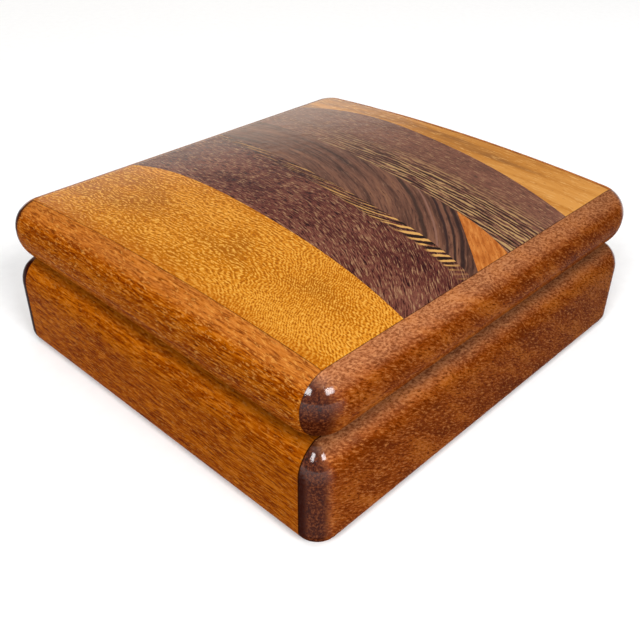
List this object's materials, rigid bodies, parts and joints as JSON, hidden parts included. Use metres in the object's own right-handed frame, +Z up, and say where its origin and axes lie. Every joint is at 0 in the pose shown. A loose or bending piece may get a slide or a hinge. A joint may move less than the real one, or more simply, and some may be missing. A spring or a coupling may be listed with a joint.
{
  "type": "wooden puzzle box",
  "caption": "Wooden puzzle box with an inlaid sliding lid held by a hidden bolt, which a sliding end board uncovers.",
  "frame": {"origin": "middle of the footprint on the underside, which is the surface that the box stands on", "axes": "+Z up, +Y along the end boards towards the back side board, +X towards the end board that slides"},
  "size_m": [0.104, 0.113, 0.0398],
  "materials": {
    "amber_side_wood": "clear gloss lacquer over long streaks and short dark pores",
    "mahogany_end_wood": "clear gloss lacquer over reddish brown wood with dark pores",
    "amber_inlay_wood": "clear gloss lacquer over golden wood with ribbon fleck",
    "purple_inlay_wood": "clear gloss lacquer over purple-brown wood with fine tan fleck",
    "dark_leaf_wood": "clear gloss lacquer over very dark streaked wood",
    "orange_wedge_wood": "clear gloss lacquer over bright orange streaked wood",
    "inner_wood": "plain sanded wood with a thin satin seal",
    "guide_wood": "dense hardwood, sanded and waxed",
    "brass_screw": "satin"
  },
  "bodies": {
    "base": {"base_side_front": "amber_side_wood", "base_side_back": "amber_side_wood", "base_end_left": "mahogany_end_wood", "bottom_panel": "inner_wood", "inner_wall_left": "inner_wood", "side_liner_front": "inner_wood", "side_liner_back": "inner_wood", "lock_wall_inner": "inner_wood", "lock_wall_outer": "inner_wood", "end_board_rail": "guide_wood", "rail_screws": "brass_screw"},
    "end_board": {"base_end_right": "mahogany_end_wood", "rail_groove_plug": "mahogany_end_wood"},
    "lock_bolt": {"lock_bolt": "guide_wood", "bolt_knob": "guide_wood"},
    "lid": {"lid_side_front": "amber_side_wood", "lid_side_back": "amber_side_wood", "lid_end_left": "mahogany_end_wood", "lid_end_right": "mahogany_end_wood", "lid_core": "inner_wood", "inlay_amber_front": "amber_inlay_wood", "inlay_purple_front": "purple_inlay_wood", "inlay_dark_leaf": "dark_leaf_wood", "inlay_orange_wedge": "orange_wedge_wood", "inlay_purple_back": "purple_inlay_wood", "inlay_amber_back": "amber_inlay_wood", "lid_runner_front": "guide_wood", "lid_runner_back": "guide_wood", "runner_screws": "brass_screw", "lock_tab": "guide_wood"}
  },
  "joints": [
    {"name": "end_board_slide", "type": "slide", "parent": "base", "child": "end_board", "axis": [0, 1, 0], "range_m": [0, 0.032]},
    {"name": "lock_bolt_slide", "type": "slide", "parent": "base", "child": "lock_bolt", "axis": [0, 1, 0], "range_m": [0, 0.013]},
    {"name": "lid_slide", "type": "slide", "parent": "base", "child": "lid", "axis": [-1, 0, 0], "range_m": [0, 0.058]}
  ]
}
